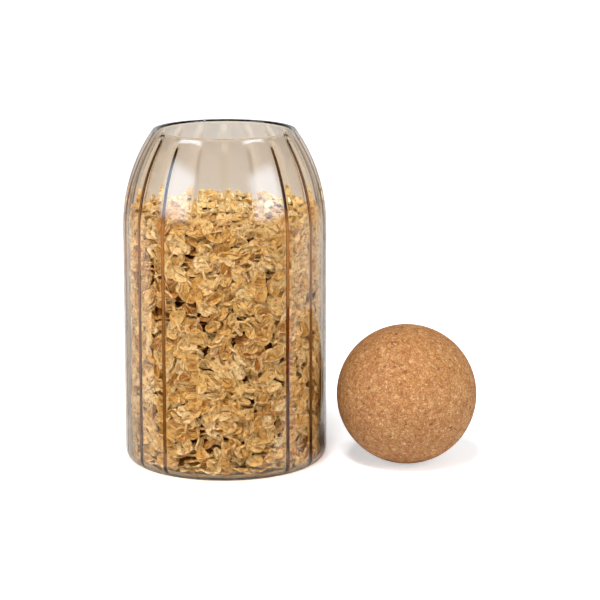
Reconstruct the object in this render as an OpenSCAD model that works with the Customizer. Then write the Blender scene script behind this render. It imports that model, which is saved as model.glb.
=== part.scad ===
// Glass storage jar with a cork ball lid
// One glass vessel, smooth outside and ribbed inside, that narrows to a plain rim.
// A cork ball lies beside it and sits in its mouth as the lid. Rolled oats fill it.
// Millimetres. The jar stands on z = 0 round the Z axis, and the ball lies on +X.

/* [Jar] */
// Outer diameter
jar_d = 100; // [80:1:130]
// Height of the rim above the table
jar_h = 165; // [130:1:220]
// Outer diameter at the rim
rim_d = 71; // [60:1:90]
// Thickness of the wall
wall = 2.4; // [2:0.1:3.4]
// Thickness of the base
base_t = 2.4; // [2:0.2:5]
// Height where the straight wall starts to curve inwards
shoulder_z = 117; // [80:1:150]
// Radius of the corner round the base
foot_r = 6; // [3:0.5:10]
// Radius of the two edges of the rim
lip_r = 1; // [0.5:0.1:1]

/* [Ribs] */
// Number of upright ribs round the inside of the wall
rib_count = 18; // [12:1:24]
// Height of a rib above the wall
rib_h = 1; // [0.4:0.1:1.2]
// Width of a rib, halfway up its sides
rib_w = 3.4; // [1.6:0.2:5]
// Distance below the rim where the ribs have faded out
rib_fade = 4; // [3:0.5:12]
// Turn of the first rib away from +X
rib_turn = -2; // [-9:0.5:9]

/* [Oats] */
// Height of the oats above the table
fill_z = 127; // [20:1:140]
// Room between the oats and the glass
fill_gap = 0.3; // [0.2:0.1:1]
// Number of main flakes that lie against the wall
wall_flakes = 190; // [100:10:240]
// Number of main flakes that lie on top
top_flakes = 34; // [12:2:50]
// Length of a flake
flake_l = 12.5; // [9:0.5:14]
// Width of a flake
flake_w = 10; // [7:0.5:12]
// Depth of the gaps between the flakes
flake_gap = 5; // [2:0.5:6]

/* [Cork ball] */
// Diameter of the ball
ball_d = 69; // [60:1:90]
// Distance from the jar's axis to the ball's centre
ball_x = 90; // [86:1:150]

/* [Hidden] */
$fn = 120;
wall_r = jar_d / 2;
lip_z = jar_h - lip_r;
ball_r = ball_d / 2;
// Shoulder arc: tangent to the upright wall, and at the rim's radius where the lip starts
shoulder_h = lip_z - shoulder_z;
shoulder_in = wall_r - rim_d / 2;
shoulder_r = (pow(shoulder_in, 2) + pow(shoulder_h, 2)) / (2 * shoulder_in);
shoulder_x = wall_r - shoulder_r;
// Inside of the jar, at the same distance from the outside all the way up
bore_r = wall_r - wall;
mouth_r = shoulder_x + sqrt(pow(shoulder_r - wall, 2) - pow(shoulder_h, 2));
// A rib's crest follows a flatter arc, which meets the wall where the rib fades out
crest_x = bore_r - rib_h;
fade_h = jar_h - rib_fade - shoulder_z;
fade_in = crest_x - shoulder_x - sqrt(pow(shoulder_r - wall, 2) - pow(fade_h, 2));
crest_r = (pow(fade_in, 2) + pow(fade_h, 2)) / (2 * fade_in);
// Depth to which the back of a rib is sunk in the wall
rib_sink = wall / 2;
corner_r = foot_r - wall;
// Oats: outermost radius, lowest height, and the grid that their surface is drawn on
fill_r = crest_x - fill_gap;
fill_low = base_t + fill_gap;
fill_top = fill_z - flake_gap;
fill_corner = 6;
cols = 84;
rows = 36;
rings = 9;
golden = 137.508;

// Sub-parts, one module each

// Half section of a straight wall with a rounded corner below and an arc above it
module body_section(r, low, corner, arc, top) {
    difference() {
        union() {
            translate([0, low])
                square([r, shoulder_z - low]);
            intersection() {
                translate([r - arc, shoulder_z])
                    circle(arc);
                translate([0, low])
                    square([r, top - low]);
            }
        }
        translate([r - corner, low])
            difference() {
                square([corner + 1, corner]);
                translate([0, corner])
                    circle(corner);
            }
    }
}

// Half section of the wall and base, with a flat rim between two rounded edges
module glass_section() {
    difference() {
        body_section(wall_r, 0, foot_r, shoulder_r, lip_z);
        body_section(bore_r, base_t, corner_r, shoulder_r - wall, jar_h);
    }
    translate([mouth_r + lip_r, lip_z])
        circle(lip_r);
    translate([rim_d / 2 - lip_r, lip_z])
        circle(lip_r);
    translate([mouth_r + lip_r, lip_z - lip_r])
        square([rim_d / 2 - mouth_r - 2 * lip_r, 2 * lip_r]);
}

// Half section of the ring that the ribs are cut from: it reaches from inside the wall to
// their crests, and starts inside the corner of the base
module rib_section() {
    difference() {
        body_section(bore_r + rib_sink, base_t + 1, 1, shoulder_r - wall + rib_sink, lip_z);
        body_section(crest_x, 0, 1, crest_r, jar_h);
    }
}

// One-piece glass vessel: smooth outside, upright ribs inside
module glass_jar() {
    color([0.78, 0.72, 0.64, 0.4]) {
        rotate_extrude()
            glass_section();
        intersection() {
            rotate_extrude()
                rib_section();
            for (i = [0 : rib_count - 1])
                rotate([0, 0, rib_turn + i * 360 / rib_count])
                    translate([wall_r / 2, -rib_w / 2, 0])
                        cube([wall_r, rib_w, jar_h]);
        }
    }
}

// Spread number i evenly over 0 to 1
function spread(i, step) = i * step - floor(i * step);

// Distance round the wall between two turns, either way
function arc_gap(a, b) = ((a - b + 900) % 360 - 180) * PI / 180 * fill_r;

// How far flake number i stands out at (u, v) from its middle, from 0 in a gap to 1
function flake(i, u, v) =
    let (
        spin = 360 * spread(i, 0.7549),
        lean = 360 * spread(i, 0.5698),
        a = flake_l / 2,
        b = flake_w / 2,
        p = (u * cos(spin) + v * sin(spin)) / a,
        q = (v * cos(spin) - u * sin(spin)) / b
    )
    p * p + q * q > 1 ? 0 :
        0.72 + 0.2 * spread(i, 0.8192) - 0.12 * (p * p + q * q)
        + 0.2 * (u * cos(lean) + v * sin(lean)) / a;

// Flakes against the wall lie on a spiral, so only numbers close in height can cover a spot
function wall_lift(t, z) =
    let (
        at = (z - fill_low) / (fill_z - fill_low) * wall_flakes,
        near = flake_l / 2 / (fill_z - fill_low) * wall_flakes
    )
    min(1, max([for (i = [max(0, floor(at - near)) : min(wall_flakes, ceil(at + near))])
        flake(i, arc_gap(t, i * golden), z - fill_low - (i + 0.5) / wall_flakes * (fill_z - fill_low))]));

// Flakes on top lie on a flat spiral
function top_lift(x, y) =
    min(1, max([for (i = [0 : top_flakes - 1])
        let (r = fill_r * sqrt((i + 0.5) / top_flakes))
        flake(i, x - r * cos(i * golden), y - r * sin(i * golden))]));

// Radius that the oats may fill at height z
function fill_edge(z) =
    z > shoulder_z
        ? crest_x - crest_r - fill_gap + sqrt(pow(crest_r, 2) - pow(z - shoulder_z, 2))
        : z < fill_low + fill_corner
            ? fill_r - fill_corner + sqrt(pow(fill_corner, 2) - pow(fill_corner - z + fill_low, 2))
            : fill_r;

// Fill of rolled oats: one solid with the main flakes on its side and top
module oats() {
    side = [for (j = [0 : rows], k = [0 : cols - 1])
        let (
            z = fill_low + (fill_top - fill_low) * j / rows,
            t = 360 * k / cols,
            r = fill_edge(z) - (j == 0 ? 0 : flake_gap * (1 - wall_lift(t, z)))
        )
        [r * cos(t), r * sin(t), z]];
    top = [for (j = [0 : rings - 1], k = [0 : cols - 1])
        let (
            r = (fill_edge(fill_z) - flake_gap) * (1 - j / rings),
            t = 360 * k / cols,
            x = r * cos(t),
            y = r * sin(t)
        )
        [x, y, fill_z - flake_gap * (1 - top_lift(x, y))]];
    low = [0, 0, fill_low];
    peak = [0, 0, fill_z - flake_gap * (1 - top_lift(0, 0))];
    points = concat(side, top, [low, peak]);
    last = rows + rings;
    count = len(points);
    walls = [for (j = [0 : last - 1], k = [0 : cols - 1])
        let (a = j * cols + k, b = j * cols + (k + 1) % cols)
        each [[a, a + cols, b], [b, a + cols, b + cols]]];
    base = [for (k = [0 : cols - 1]) [count - 2, k, (k + 1) % cols]];
    cap = [for (k = [0 : cols - 1]) [count - 1, last * cols + (k + 1) % cols, last * cols + k]];
    color([0.86, 0.67, 0.38])
        polyhedron(points, concat(walls, base, cap));
}

// Cork ball, lying on the table beside the jar
module cork_ball() {
    color([0.79, 0.58, 0.36])
        translate([ball_x, 0, ball_r])
            sphere(ball_r);
}

glass_jar();
oats();
cork_ball();
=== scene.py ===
from math import asin, atan2, cos, hypot, pi, radians, sin, sqrt

import bpy
import numpy as np
from mathutils import Matrix, Quaternion, Vector


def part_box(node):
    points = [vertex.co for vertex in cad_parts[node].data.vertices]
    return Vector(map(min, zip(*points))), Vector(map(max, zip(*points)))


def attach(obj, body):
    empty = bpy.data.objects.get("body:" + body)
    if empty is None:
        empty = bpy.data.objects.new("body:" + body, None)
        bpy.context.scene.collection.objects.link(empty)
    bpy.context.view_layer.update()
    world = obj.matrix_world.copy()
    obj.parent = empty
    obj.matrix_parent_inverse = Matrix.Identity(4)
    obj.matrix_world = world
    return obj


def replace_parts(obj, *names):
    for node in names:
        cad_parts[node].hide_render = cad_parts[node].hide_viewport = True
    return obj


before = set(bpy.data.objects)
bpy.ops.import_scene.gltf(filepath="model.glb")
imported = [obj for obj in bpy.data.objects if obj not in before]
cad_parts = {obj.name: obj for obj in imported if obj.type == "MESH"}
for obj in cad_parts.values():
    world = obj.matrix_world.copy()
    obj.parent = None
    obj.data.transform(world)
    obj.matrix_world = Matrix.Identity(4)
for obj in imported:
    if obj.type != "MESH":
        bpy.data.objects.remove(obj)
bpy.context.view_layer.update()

scene = bpy.context.scene
scene.view_settings.view_transform = "Standard"
scene.cycles.max_bounces, scene.cycles.glossy_bounces, scene.cycles.transmission_bounces = 20, 5, 12

# Camera: where the photograph was taken from, 1.2 m away with a long lens, looking down
# on the jar by 12 degrees.
camera = bpy.data.objects.new("camera", bpy.data.cameras.new("camera"))
scene.collection.objects.link(camera)
scene.camera = camera
camera.location = (0.1658, -1.1993, 0.3391)
camera.rotation_euler = (radians(90 - 12.097), 0, radians(6.125))
camera.data.lens = 4.1763 * camera.data.sensor_width

# Jar: one vessel of brown tinted soda-lime glass, blown into a mould. It is smooth outside,
# and inside it has 18 upright ribs, which die out under the flat, polished rim.
low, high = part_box("glass_jar")
JAR_R, JAR_H = high.x, high.z
WALL, BASE, FOOT, CORNER = 0.0024, 0.0024, 0.006, 0.0036
SHOULDER_Z, RIM_R, RIM_Z, EDGE, MOUTH_EDGE = 0.117, 0.0355, JAR_H - 0.001, 0.0003, 0.00075
RIBS, RIB_H, RIB_W, RIB_TURN = 18, 0.0010, 0.0066, radians(-2)
RIB_END, RIB_FADE = JAR_H - 0.0025, 0.0035
bore_r = JAR_R - WALL
inset, rise = JAR_R - RIM_R, RIM_Z - SHOULDER_Z
shoulder_r = (inset**2 + rise**2) / (2 * inset)
shoulder_x = JAR_R - shoulder_r
lean_out = asin((JAR_H - EDGE - SHOULDER_Z) / (shoulder_r - EDGE))
lean_in = asin((JAR_H - MOUTH_EDGE - SHOULDER_Z) / (shoulder_r - WALL + MOUTH_EDGE))
edge_out = shoulder_x + (shoulder_r - EDGE) * cos(lean_out)
edge_in = shoulder_x + (shoulder_r - WALL + MOUTH_EDGE) * cos(lean_in)
pitch, rib_turn = 2 * pi / RIBS, RIB_W / bore_r
mesh = bpy.ops.mesh


def straight(x, z):
    """Draw the outline on by a straight stretch."""
    mesh.extrude_region_move(TRANSFORM_OT_translate={"value": (x, 0, z)})


def arc(x, z, angle, steps):
    """Draw the outline on round a centre, anticlockwise seen from -Y."""
    mesh.spin(steps=steps, angle=angle, center=(x, 0, z), axis=(0, 1, 0))


def turn_up(angle, steps, **options):
    """Spin what is selected round the jar's axis, anticlockwise seen from above."""
    mesh.spin(steps=steps, angle=angle, center=(0, 0, 0), axis=(0, 0, -1), **options)


def rib_rise(x):
    """Height of a rib: 1 at its crest, x = 0, and 0 at its foot, x = 1, with straight sides."""
    bend = 0.2
    slope = 1 / (1 - bend)
    if x < bend:
        return 1 - slope * x * x / (2 * bend)
    if x > 1 - bend:
        return slope * max(0, 1 - x) ** 2 / (2 * bend)
    return 1 - slope * (x - bend / 2)


def from_rib(x, y):
    """Distance round the wall to the nearest rib's middle, in half widths of a rib."""
    turn = (atan2(y, x) - RIB_TURN) % pitch
    return min(1, min(turn, pitch - turn) / (rib_turn / 2))


bpy.ops.object.select_all(action="DESELECT")
mesh.primitive_plane_add(size=WALL, location=(0, 0, 0), calc_uvs=False)
jar = bpy.context.object
jar.name = "ribbed_glass_jar"
bpy.ops.object.mode_set(mode="EDIT")
mesh.merge(type="CENTER")
straight(JAR_R - FOOT, 0)
arc(JAR_R - FOOT, FOOT, pi / 2, 10)
straight(0, SHOULDER_Z - FOOT)
arc(shoulder_x, SHOULDER_Z, lean_out, 36)
arc(edge_out, JAR_H - EDGE, pi / 2 - lean_out, 5)
straight(edge_in - edge_out, 0)
arc(edge_in, JAR_H - MOUTH_EDGE, pi / 2 + lean_in, 10)
arc(shoulder_x, SHOULDER_Z, -lean_in, 36)
straight(0, BASE + CORNER - SHOULDER_Z)
arc(bore_r - CORNER, BASE + CORNER, -pi / 2, 8)
straight(CORNER - bore_r, 0)
mesh.select_all(action="SELECT")
turn_up(rib_turn, 20)
turn_up(pitch - rib_turn, 4)
mesh.select_all(action="SELECT")
turn_up(pitch * (RIBS - 1), RIBS - 1, dupli=True)
mesh.select_all(action="SELECT")
mesh.remove_doubles(threshold=1e-6)
mesh.normals_make_consistent(inside=False)
bpy.ops.object.mode_set(mode="OBJECT")
jar.rotation_euler.z = RIB_TURN - rib_turn / 2
bpy.ops.object.transform_apply(location=True, rotation=True, scale=True)
ribs = jar.vertex_groups.new(name="ribs")
for v in jar.data.vertices:
    r = hypot(v.co.x, v.co.y)
    inward = -(v.normal.x * v.co.x + v.normal.y * v.co.y) / r if r > 0.02 else 0
    share = inward * r / bore_r * min(1, max(0, (RIB_END - v.co.z) / RIB_FADE))
    if share > 0.001:
        ribs.add([v.index], min(1, share) * rib_rise(from_rib(v.co.x, v.co.y)), "REPLACE")
stand = jar.modifiers.new("ribs", "DISPLACE")
stand.vertex_group, stand.mid_level, stand.strength = "ribs", 0, RIB_H
bpy.ops.object.modifier_apply(modifier="ribs")
bpy.ops.object.shade_smooth()


def srgb(code):
    """Linear colour of an sRGB hex code."""
    parts = [int(code[i : i + 2], 16) / 255 for i in (1, 3, 5)]
    return [c / 12.92 if c <= 0.04045 else ((c + 0.055) / 1.055) ** 2.4 for c in parts] + [1]


def node(tree, kind, inputs, stops=(), **settings):
    """Add a node: its settings, the stops of its ramp, and a value or a link for each input."""
    made = tree.nodes.new("ShaderNode" + kind)
    for key, value in settings.items():
        setattr(made, key, value)
    for key, value in inputs.items():
        if isinstance(value, bpy.types.NodeSocket):
            tree.links.new(value, made.inputs[key])
        else:
            made.inputs[key].default_value = value
    for i, (place, code) in enumerate(stops):
        if i > 1:
            made.color_ramp.elements.new(1)
        made.color_ramp.elements[i].position = place
        made.color_ramp.elements[i].color = srgb(code)
    return made


def material(name, roughness, ior):
    """A new material, as itself, its node tree, its Principled shader and its output."""
    made = bpy.data.materials.new(name)
    made.use_nodes = True
    shader = made.node_tree.nodes["Principled BSDF"]
    shader.inputs["Roughness"].default_value = roughness
    shader.inputs["IOR"].default_value = ior
    return made, made.node_tree, shader, made.node_tree.nodes["Material Output"]


# Soda-lime glass: clear and glossy. The tint is an absorption in its depth, so one wall is
# greige, two are darker, and what is seen along a rib is brown.
glass, tree, shader, out = material("brown tinted soda-lime glass", 0, 1.5)
shader.inputs["Base Color"].default_value = (1, 1, 1, 1)
shader.inputs["Transmission Weight"].default_value = 1
ray = node(tree, "LightPath", {})
clear = node(tree, "BsdfTransparent", {"Color": srgb("#F3EEE7")})
both = node(tree, "MixShader", {0: ray.outputs["Is Shadow Ray"], 1: shader.outputs[0], 2: clear.outputs[0]})
tree.links.new(both.outputs[0], out.inputs["Surface"])
tint = node(tree, "VolumeAbsorption", {"Color": (0.78, 0.50, 0.13, 1), "Density": 118})
tree.links.new(tint.outputs[0], out.inputs["Volume"])
jar.data.materials.append(glass)
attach(jar, "jar")
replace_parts(jar, "glass_jar")

# Oats: steamed and rolled flakes, 5 to 12 mm long and half a millimetre thick. Each is an
# uneven, curled oval with a crease along it, painted shade in the crease, a pale floury edge and fine fibres.
oat, tree, shader, out = material("steamed rolled oats", 0.6, 1.33)
place = node(tree, "UVMap", {}, uv_map="flake").outputs[0]
tone = node(tree, "Attribute", {}, attribute_name="tone").outputs["Fac"]
edge = node(tree, "Attribute", {}, attribute_name="edge").outputs["Fac"]
crease = node(tree, "Attribute", {}, attribute_name="crease").outputs["Fac"]
# 1 unit of the UV map is the length of a flake, so the fibres are half a millimetre apart
along = node(tree, "Mapping", {"Vector": place, "Scale": (2, 11, 1)}).outputs[0]
fibres = node(tree, "TexNoise", {"Vector": along, "Scale": 1.6, "Detail": 3}).outputs["Fac"]
mottle = node(tree, "TexNoise", {"Vector": place, "Scale": 3.5, "Detail": 3}).outputs["Fac"]
bran = node(tree, "ValToRGB", {0: tone}, [(0, "#B27C30"), (0.3, "#E0B965"), (0.6, "#F5DD9C"), (1, "#FFF3CC")])
shell = node(tree, "MapRange", {"Value": mottle, "From Min": 0.53, "From Max": 0.36, "To Max": 0.8}).outputs[0]
browned = node(tree, "Mix", {0: shell, 6: bran.outputs[0], 7: srgb("#A86F28")}, data_type="RGBA")
starch = node(tree, "MapRange", {"Value": fibres, "From Min": 0.52, "From Max": 0.66, "To Max": 0.5}).outputs[0]
streaked = node(tree, "Mix", {0: starch, 6: browned.outputs[2], 7: srgb("#FBF1D4")}, data_type="RGBA")
floury = node(tree, "MapRange", {"Value": edge, "From Min": 0.8, "To Max": 0.2}).outputs[0]
flour = node(tree, "Mix", {0: floury, 6: streaked.outputs[2], 7: srgb("#FAF0D2")}, data_type="RGBA")
# painted shade: the crease is coloured dark brown, where shade falls in the fold
crease_shade = node(tree, "MapRange", {"Value": crease, "From Min": 0.7, "From Max": 0.95, "To Max": 0.8}).outputs[0]
crease_shaded = node(tree, "Mix", {0: crease_shade, 6: flour.outputs[2], 7: srgb("#6E4318")}, data_type="RGBA")
lines = node(tree, "ValToRGB", {0: fibres}, [(0.32, "#B98C45"), (0.5, "#FFFFFF")]).outputs[0]
lined = node(tree, "Mix", {0: 0.42, 6: crease_shaded.outputs[2], 7: lines}, data_type="RGBA", blend_type="MULTIPLY")
tree.links.new(lined.outputs[2], shader.inputs["Base Color"])
relief = node(tree, "Bump", {"Height": fibres, "Strength": 0.7, "Distance": 0.0004}).outputs[0]
tree.links.new(relief, shader.inputs["Normal"])

SIDES, CREASE, KINDS = 12, 0.045, 14
rng = np.random.default_rng(7)


def model_flake(number):
    """Model one flake, 1 m long for now: a disc, inset, creased, thickened and curled."""
    pick = np.random.default_rng(number)
    bpy.ops.object.select_all(action="DESELECT")
    mesh.primitive_circle_add(vertices=SIDES, radius=0.5, fill_type="NGON", calc_uvs=False)
    flake = bpy.context.object
    bpy.ops.object.mode_set(mode="EDIT")
    bpy.ops.transform.vertex_random(offset=0.06, seed=number)
    mesh.inset(thickness=0.17)
    mesh.poke()
    bpy.ops.object.mode_set(mode="OBJECT")
    me = flake.data
    width, point, fold = pick.uniform(0.58, 0.85), pick.uniform(0.2, 1.4), pick.uniform(0.05, 0.3)
    has_crease = pick.random() < 0.6
    crease = me.attributes.new("crease", "FLOAT", "POINT")
    edge = me.attributes.new("edge", "FLOAT", "POINT")
    creases, edges = [], []
    for v in me.vertices:
        rim = min(1, v.co.xy.length / 0.46)
        on_line = has_crease and abs(v.co.y) < 0.06
        creases.append((1 - 0.4 * rim**4) * on_line)
        edges.append(rim**3)
        v.co.y *= width * (1 - 0.35 * v.co.x * point)
        v.co.z = fold * abs(v.co.y) - CREASE * (1 - rim**4) * on_line + pick.uniform(-0.02, 0.02)
    me.attributes["crease"].data.foreach_set("value", creases)
    me.attributes["edge"].data.foreach_set("value", edges)
    uv = [c for loop in me.loops for c in me.vertices[loop.vertex_index].co.xy]
    me.uv_layers.new(name="flake")
    me.uv_layers["flake"].data.foreach_set("uv", uv)
    thick = flake.modifiers.new("thick", "SOLIDIFY")
    thick.thickness, thick.offset = pick.uniform(0.045, 0.065), 0
    bpy.ops.object.modifier_apply(modifier="thick")
    for axis, most in (("Y", 40), ("X", 45)):
        curl = flake.modifiers.new("curl", "SIMPLE_DEFORM")
        curl.deform_method, curl.deform_axis, curl.angle = "BEND", axis, radians(pick.uniform(-most, most))
        bpy.ops.object.modifier_apply(modifier="curl")
    bpy.ops.object.shade_smooth_by_angle(angle=radians(38))
    me.materials.append(oat)
    points = np.zeros(len(me.vertices) * 3)
    me.vertices.foreach_get("co", points)
    scene.collection.objects.unlink(flake)
    return me, points.reshape(-1, 3)


kinds = [model_flake(100 + i) for i in range(KINDS)]
FILL_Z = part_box("oats")[1].z
FILL_LOW, GAP, CLEAR = BASE + 0.0003, 0.005, 0.0002
fill_r = bore_r - RIB_H - 0.0003


def room(x, y, z):
    """Radius inside the glass at a point, less a hair's breadth."""
    r = bore_r
    if z > SHOULDER_Z:
        r = shoulder_x + sqrt((shoulder_r - WALL) ** 2 - (z - SHOULDER_Z) ** 2)
    if z < BASE + CORNER:
        r = bore_r - CORNER + sqrt(max(0, CORNER**2 - (BASE + CORNER - z) ** 2))
    return r - CLEAR - RIB_H * rib_rise(from_rib(x, y))


def lay(centre, normal, spin, size):
    """A copy of a flake, turned, sized and slid in until it clears the glass."""
    me, points = kinds[rng.integers(KINDS)]
    turn = Vector((0, 0, 1)).rotation_difference(Vector(normal)).to_matrix().to_4x4()
    shape = turn @ Matrix.Rotation(spin, 4, "Z") @ Matrix.Scale(size, 4)
    spots = points @ np.array(shape.to_3x3()).T + np.array(centre)
    move = np.zeros(3)
    move[2] = max(0, BASE + CLEAR - spots[:, 2].min())
    for _ in range(4):
        over, x, y = max((hypot(x, y) - room(x, y, z), x, y) for x, y, z in spots + move)
        if over <= 0:
            break
        move[:2] -= np.array((x, y)) / hypot(x, y) * over
    me = me.copy()
    me.transform(Matrix.Translation(Vector(centre) + Vector(move)) @ shape)
    tone = np.full(len(me.vertices), np.clip(rng.normal(0.5, 0.25), 0, 1), np.float32)
    me.attributes.new("tone", "FLOAT", "POINT")
    me.attributes["tone"].data.foreach_set("value", tone)
    uv = np.zeros(len(me.loops) * 2, np.float32)
    me.uv_layers["flake"].data.foreach_get("uv", uv)
    me.uv_layers["flake"].data.foreach_set("uv", uv + np.float32(rng.uniform(0, 50)))
    return me


def heap(name, flakes):
    """One piece of many flakes."""
    bpy.ops.object.select_all(action="DESELECT")
    for me in flakes:
        ob = bpy.data.objects.new(name, me)
        scene.collection.objects.link(ob)
        ob.select_set(True)
        bpy.context.view_layer.objects.active = ob
    bpy.ops.object.join()
    ob = bpy.context.object
    ob.name = name
    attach(ob, "jar")
    return ob


def leaned(axis, angle, about):
    """A direction leaned away from an axis by an angle, towards a turn about it."""
    axis = Vector(axis).normalized()
    side = axis.orthogonal().normalized()
    side.rotate(Matrix.Rotation(about, 3, axis))
    return (axis * cos(angle) + side * sin(angle)).normalized()


def spread(number, step):
    """Numbers spread evenly from 0 to 1."""
    return number * step % 1


# The main flakes lie where the solid model has them: on a spiral up the wall, and on a flat
# spiral on top. The rest fill in between, many of them level and seen edge on.
GOLDEN, WALL_FLAKES, TOP_FLAKES, FLAKE, LAYERED = radians(137.508), 190, 34, 0.0125, 0.014


def main_wall_flake(i):
    """Flake i of the spiral against the wall."""
    t, z = i * GOLDEN, FILL_LOW + (i + 0.5) / WALL_FLAKES * (FILL_Z - FILL_LOW)
    r = fill_r - GAP * (0.28 - 0.2 * spread(i, 0.8192))
    out = (cos(t), sin(t), 0)
    normal = leaned(out, rng.uniform(0.05, 0.4), 2 * pi * spread(i, 0.5698))
    size = FLAKE * rng.uniform(0.65, 0.92)
    return lay((r * out[0], r * out[1], min(z, FILL_Z - 0.004)), normal, 2 * pi * spread(i, 0.7549), size)


def main_top_flake(i):
    """Flake i of the spiral on top."""
    t, r = i * GOLDEN, (fill_r - 0.005) * sqrt((i + 0.5) / TOP_FLAKES)
    normal = leaned((0, 0, 1), rng.uniform(0.05, 0.35), 2 * pi * spread(i, 0.5698))
    z = FILL_Z - GAP * (0.3 - 0.2 * spread(i, 0.8192))
    return lay((r * cos(t), r * sin(t), z), normal, 2 * pi * spread(i, 0.7549), FLAKE * rng.uniform(0.6, 0.85))


def wall_flake(i, count, depth, level, small, large):
    """Flake i of count between the main ones. A share of them are level, with an edge to the eye."""
    t = i * GOLDEN + rng.normal(0, 0.15)
    z = FILL_LOW + 0.001 + (FILL_Z - FILL_LOW - 0.003) * (i + rng.random()) / count
    size = rng.uniform(small, large)
    out = (cos(t), sin(t), 0)
    if rng.random() < (0.8 if z < LAYERED else level):
        normal = leaned((0, 0, 1), abs(rng.normal(0, 0.3)), rng.uniform(0, 2 * pi))
        depth = depth + size * 0.42
    else:
        normal = leaned(out, rng.uniform(0.05, 0.95), rng.uniform(0, 2 * pi))
    r = room(out[0], out[1], z) - depth - rng.uniform(0, 0.001)
    return lay((r * out[0], r * out[1], z), normal, rng.uniform(0, 2 * pi), size)


def disc_flake(i, count, z, rough):
    """Flake i of count over the whole width at a height."""
    t, r = i * GOLDEN, (fill_r - 0.002) * sqrt((i + 0.5) / count)
    normal = leaned((0, 0, 1), abs(rng.normal(0, 0.35)), rng.uniform(0, 2 * pi))
    z += rng.uniform(-rough, rough)
    return lay((r * cos(t), r * sin(t), z), normal, rng.uniform(0, 2 * pi), rng.uniform(0.006, 0.010))


main = [main_wall_flake(i) for i in range(WALL_FLAKES)] + [main_top_flake(i) for i in range(TOP_FLAKES)]
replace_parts(heap("main_oat_flakes", main), "oats")
heap("oat_flakes_at_the_wall", [wall_flake(i, 1800, 0.0004, 0.38, 0.0060, 0.0102) for i in range(1800)])
heap("oat_flakes_behind", [wall_flake(i, 1950, 0.0022, 0.35, 0.0075, 0.0110) for i in range(1950)])
heap("oat_flakes_on_top", [disc_flake(i, 330, FILL_Z - 0.003, 0.002) for i in range(330)])
heap("oat_flakes_on_the_base", [disc_flake(i, 450, BASE + 0.0012, 0.0008) for i in range(450)])

# Middle of the fill: the oats that lie too deep to be seen one by one, as one mass in painted
# shade, a block with bevelled edges behind the flakes. Its colour is painted shade: dark browns, darkest at the
# grains' edges.
deep, tree, shader, out = material("rolled oats in shade", 1, 1.2)
spot = node(tree, "TexCoord", {}).outputs["Object"]
grains = node(tree, "TexVoronoi", {"Vector": spot, "Scale": 190}).outputs["Distance"]
# painted shade: grains of dark brown, darker towards their edges
painted_shade = node(tree, "ValToRGB", {0: grains}, [(0, "#A87030"), (0.5, "#7A4A18"), (0.9, "#4A2A0C")])
tree.links.new(painted_shade.outputs[0], shader.inputs["Base Color"])
deep_r, deep_low, deep_top = fill_r - GAP, BASE + 0.003, FILL_Z - GAP - 0.002
bpy.ops.object.select_all(action="DESELECT")
mesh.primitive_cylinder_add(
    vertices=96, radius=deep_r, depth=deep_top - deep_low, location=(0, 0, (deep_low + deep_top) / 2), calc_uvs=False
)
core = bpy.context.object
core.name = "oats_inside"
bpy.ops.object.mode_set(mode="EDIT")
mesh.bevel(offset=0.004, segments=3)
bpy.ops.object.mode_set(mode="OBJECT")
bpy.ops.object.transform_apply(location=True, rotation=True, scale=True)
bpy.ops.object.shade_smooth_by_angle(angle=radians(40))
core.data.materials.append(deep)
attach(core, "jar")

# Ball lid: granules of cork pressed into a block and turned to a ball. Granules of 1 to 3 mm
# differ in colour, with brown seams between them, pale flecks and a few dark specks of bark.
cork, tree, shader, out = material("agglomerated cork", 0.75, 1.4)
spot = node(tree, "TexCoord", {}).outputs["Object"]
wave = node(tree, "TexNoise", {"Vector": spot, "Scale": 300, "Detail": 3}).outputs["Color"]
bent = node(tree, "VectorMath", {0: wave, 1: (0.0022,) * 3, 2: spot}, operation="MULTIPLY_ADD").outputs[0]
large = node(tree, "TexVoronoi", {"Vector": bent, "Scale": 380})
seams = node(tree, "TexVoronoi", {"Vector": bent, "Scale": 380}, feature="DISTANCE_TO_EDGE").outputs["Distance"]
small = node(tree, "TexVoronoi", {"Vector": bent, "Scale": 900})
cracks = node(tree, "TexVoronoi", {"Vector": bent, "Scale": 900}, feature="DISTANCE_TO_EDGE").outputs["Distance"]
# a fine noise: the bump's small pits, with the colour darker where they sink
pit_noise = node(tree, "TexNoise", {"Vector": spot, "Scale": 1900, "Detail": 3, "Roughness": 0.7}).outputs["Fac"]
patch = node(tree, "TexNoise", {"Vector": spot, "Scale": 330, "Detail": 1}).outputs["Fac"]
of_large = node(tree, "SeparateColor", {0: large.outputs["Color"]})
of_small = node(tree, "SeparateColor", {0: small.outputs["Color"]})
coarse = node(tree, "ValToRGB", {0: of_large.outputs[0]}, [(0, "#A77242"), (0.35, "#B78450"), (0.7, "#C2915A"), (1, "#CDA26E")])
fine = node(tree, "ValToRGB", {0: of_small.outputs[0]}, [(0, "#8E5A2E"), (0.3, "#B37E4A"), (0.8, "#C4945E"), (1, "#D8B988")])
grain = node(tree, "Mix", {0: 0.55, 6: coarse.outputs[0], 7: fine.outputs[0]}, data_type="RGBA")
seam = node(tree, "MapRange", {"Value": seams, "From Min": 0.07, "From Max": 0, "To Max": 0.75}).outputs[0]
joined = node(tree, "Mix", {0: seam, 6: grain.outputs[2], 7: srgb("#96602F")}, data_type="RGBA")
crack = node(tree, "MapRange", {"Value": cracks, "From Min": 0.08, "From Max": 0, "To Max": 0.85}).outputs[0]
where = node(tree, "MapRange", {"Value": patch, "From Min": 0.44, "From Max": 0.56}).outputs[0]
broken = node(tree, "Math", {0: crack, 1: where}, operation="MULTIPLY").outputs[0]
cracked = node(tree, "Mix", {0: broken, 6: joined.outputs[2], 7: srgb("#7E4B24")}, data_type="RGBA")
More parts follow.
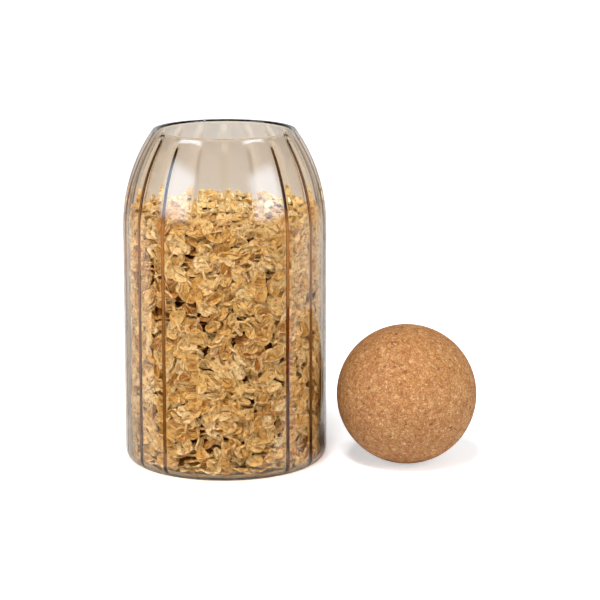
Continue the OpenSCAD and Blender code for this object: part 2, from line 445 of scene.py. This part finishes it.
bark = node(tree, "MapRange", {"Value": of_small.outputs[1], "From Min": 0.975, "From Max": 0.99, "To Max": 0.7})
barked = node(tree, "Mix", {0: bark.outputs[0], 6: cracked.outputs[2], 7: srgb("#5F3820")}, data_type="RGBA")
pit_tone = node(tree, "ValToRGB", {0: pit_noise}, [(0.32, "#B8967A"), (0.58, "#FFFFFF")]).outputs[0]
skin = node(tree, "Mix", {0: 0.9, 6: barked.outputs[2], 7: pit_tone}, data_type="RGBA", blend_type="MULTIPLY")
tree.links.new(skin.outputs[2], shader.inputs["Base Color"])
pits = node(tree, "Bump", {"Height": pit_noise, "Strength": 0.35, "Distance": 0.0003}).outputs[0]
groove = node(tree, "MapRange", {"Value": seams, "From Max": 0.12}).outputs[0]
sunk = node(tree, "Bump", {"Height": groove, "Strength": 0.3, "Distance": 0.0003, "Normal": pits}).outputs[0]
tree.links.new(sunk, shader.inputs["Normal"])

low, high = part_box("cork_ball")
ball_r = (high.z - low.z) / 2
bpy.ops.object.select_all(action="DESELECT")
mesh.primitive_ico_sphere_add(
    subdivisions=7, radius=ball_r - 0.00002, location=((low.x + high.x) / 2, 0, ball_r), calc_uvs=False
)
ball = bpy.context.object
ball.name = "cork_ball_lid"
bpy.ops.object.transform_apply(location=True, rotation=True, scale=True)
for name, size, depth in (("chips", 0.0035, 0.0005), ("pores", 0.0012, 0.0003)):
    holes = bpy.data.textures.new(name, "CLOUDS")
    holes.noise_scale = size
    holes.use_color_ramp = True
    for element, place, value in zip(holes.color_ramp.elements, (0.62, 0.78), (0, 1)):
        element.position, element.color = place, (value, value, value, 1)
    worn = ball.modifiers.new(name, "DISPLACE")
    worn.texture, worn.mid_level, worn.strength = holes, 0, -depth
    bpy.ops.object.modifier_apply(modifier=name)
bpy.ops.object.shade_smooth()
ball.data.materials.append(cork)
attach(ball, "lid")
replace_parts(ball, "cork_ball")

# Floor: white paper, which shows white and keeps the soft shadow. Through the glass and in it
# the paper near the jar is painted dimmer and greyer: a painted shadow, as it lies in the jar's own shade.
paper, tree, shader, out = material("white paper", 0.9, 1.45)
ray = node(tree, "LightPath", {})
spot = node(tree, "TexCoord", {}).outputs["Object"]
away = node(tree, "VectorMath", {0: spot}, operation="LENGTH").outputs["Value"]
# painted shadow: the paper's colour darkens towards the jar, for rays that come through the glass
painted_shade = node(tree, "MapRange", {"Value": away, "From Min": 0.75, "From Max": 0.25}).outputs[0]
flags = {0: ray.outputs["Is Transmission Ray"], 1: ray.outputs["Diffuse Depth"]}
through = node(tree, "Math", flags, operation="GREATER_THAN").outputs[0]
painted_shadow_share = node(tree, "Math", {0: through, 1: painted_shade}, operation="MULTIPLY").outputs[0]
paper_or_painted_shadow = node(tree, "Mix", {0: painted_shadow_share, 6: srgb("#F4F4F4"), 7: srgb("#A6A48E")}, data_type="RGBA")
tree.links.new(paper_or_painted_shadow.outputs[2], shader.inputs["Base Color"])
lift = 0
for kind, near, far in (("Is Camera Ray", 0.5, 1), ("Is Transmission Ray", 0, 0.33), ("Is Glossy Ray", 0, 0.1)):
    level = node(tree, "MapRange", {"Value": away, "From Min": 0.1, "From Max": 0.6, "To Min": near, "To Max": far})
    share = node(tree, "Math", {0: ray.outputs[kind], 1: level.outputs[0]}, operation="MULTIPLY").outputs[0]
    lift = node(tree, "Math", {0: lift, 1: share}, operation="MAXIMUM").outputs[0]
glow = node(tree, "Emission", {"Strength": lift}).outputs[0]
total = node(tree, "AddShader", {0: shader.outputs[0], 1: glow}).outputs[0]
tree.links.new(total, out.inputs["Surface"])
bpy.ops.object.select_all(action="DESELECT")
mesh.primitive_plane_add(size=12, location=(0, 0, -0.0002), calc_uvs=False)
floor = bpy.context.object
floor.name = "floor"
floor.data.materials.append(paper)

# Studio: a pale room and two softboxes. A softbox is an area lamp, and a card in its place is
# what the glass reflects of it: brightest in the middle and fading out to its edges.
world = bpy.data.worlds.new("studio")
scene.world = world
world.use_nodes = True
tree = world.node_tree
ray = node(tree, "LightPath", {})
way = node(tree, "SeparateXYZ", {0: node(tree, "TexCoord", {}).outputs["Generated"]}).outputs[1]
level = 0.19
for kind, front, behind, start, end in (
    ("Is Camera Ray", 1, 1, 0, 1),
    ("Is Transmission Ray", 0.13, 0.76, 0.84, 0.97),
    ("Is Glossy Ray", 0.04, 0.85, 0.25, 1),
):
    sides = {"Value": way, "From Min": start, "From Max": end, "To Min": front, "To Max": behind}
    seen = node(tree, "MapRange", sides).outputs[0]
    level = node(tree, "Mix", {0: ray.outputs[kind], 2: level, 3: seen}).outputs[0]
tree.links.new(level, tree.nodes["Background"].inputs["Strength"])
tree.nodes["Background"].inputs["Color"].default_value = (1, 1, 1, 1)


def softbox(name, azimuth, elevation, width, height, power, shine, roll=0):
    """A softbox 1.4 m from the jar's middle: its lamp, and the card that glass reflects."""
    e, a = radians(elevation), radians(azimuth)
    way = Vector((cos(a) * cos(e), sin(a) * cos(e), sin(e)))
    spot, turn = Vector((0, 0, 0.1)) + way * 1.4, (way.to_track_quat("Z", "Y") @ Quaternion((0, 0, 1), radians(roll))).to_euler()
    lamp = bpy.data.lights.new(name, "AREA")
    lamp.shape, lamp.size, lamp.size_y, lamp.energy = "RECTANGLE", width, height, power
    ob = bpy.data.objects.new(name, lamp)
    scene.collection.objects.link(ob)
    ob.location, ob.rotation_euler = spot, turn
    ob.visible_glossy = ob.visible_transmission = False
    if not shine:
        return
    face, tree, shader, out = material(name + " diffuser", 0.9, 1.45)
    where = node(tree, "SeparateXYZ", {0: node(tree, "TexCoord", {}).outputs["Object"]})
    for number, half in ((0, width / 2), (1, height / 2)):
        off = node(tree, "Math", {0: where.outputs[number]}, operation="ABSOLUTE").outputs[0]
        sizes = {"Value": off, "From Min": half, "From Max": half * 0.5}
        fall = node(tree, "MapRange", sizes, interpolation_type="SMOOTHSTEP").outputs[0]
        shine = node(tree, "Math", {0: shine, 1: fall}, operation="MULTIPLY").outputs[0]
    glow = node(tree, "Emission", {"Color": srgb("#DAEAFF"), "Strength": shine}).outputs[0]
    ray = node(tree, "LightPath", {}).outputs
    through = node(tree, "Math", {0: ray["Is Transmission Ray"], 1: ray["Diffuse Depth"]}, operation="GREATER_THAN").outputs[0]
    clear = node(tree, "BsdfTransparent", {}).outputs[0]
    both = node(tree, "MixShader", {0: through, 1: glow, 2: clear}).outputs[0]
    tree.links.new(both, out.inputs["Surface"])
    bpy.ops.object.select_all(action="DESELECT")
    mesh.primitive_plane_add(size=1, location=(0, 0, 0), calc_uvs=False)
    card = bpy.context.object
    card.name = name + "_face"
    card.scale = (width, height, 1)
    bpy.ops.object.transform_apply(location=True, rotation=True, scale=True)
    card.location, card.rotation_euler = spot, turn
    card.data.materials.append(face)
    card.visible_camera = card.visible_diffuse = card.visible_shadow = False


softbox("left_softbox", -142, 20, 1.25, 1.0, 9.5, 9)
softbox("right_softbox", -31, 20, 1.15, 1.0, 10.5, 9)
softbox("left_strip", -152, 51, 0.9, 0.13, 1, 13, 23)
softbox("right_strip", -21, 54, 0.8, 0.13, 1, 13, -20)
softbox("key", -92, 57, 0.3, 0.3, 17, 0)

# Black flag on the table in front, which keeps the paper's reflection off the front of the jar
flag, tree, shader, out = material("black felt", 1, 1.45)
shader.inputs["Base Color"].default_value = (0, 0, 0, 1)
shader.inputs["Specular IOR Level"].default_value = 0
ray = node(tree, "LightPath", {}).outputs
mirrored = node(tree, "Math", {0: ray["Glossy Depth"], 1: ray["Diffuse Depth"]}, operation="GREATER_THAN").outputs[0]
clear = node(tree, "BsdfTransparent", {}).outputs[0]
both = node(tree, "MixShader", {0: mirrored, 1: clear, 2: shader.outputs[0]}).outputs[0]
tree.links.new(both, out.inputs["Surface"])
bpy.ops.object.select_all(action="DESELECT")
mesh.primitive_plane_add(size=3, location=(0, -1.56, 0.0003), calc_uvs=False)
cloth = bpy.context.object
cloth.name = "black_flag"
cloth.data.materials.append(flag)
cloth.visible_camera = cloth.visible_diffuse = cloth.visible_shadow = False
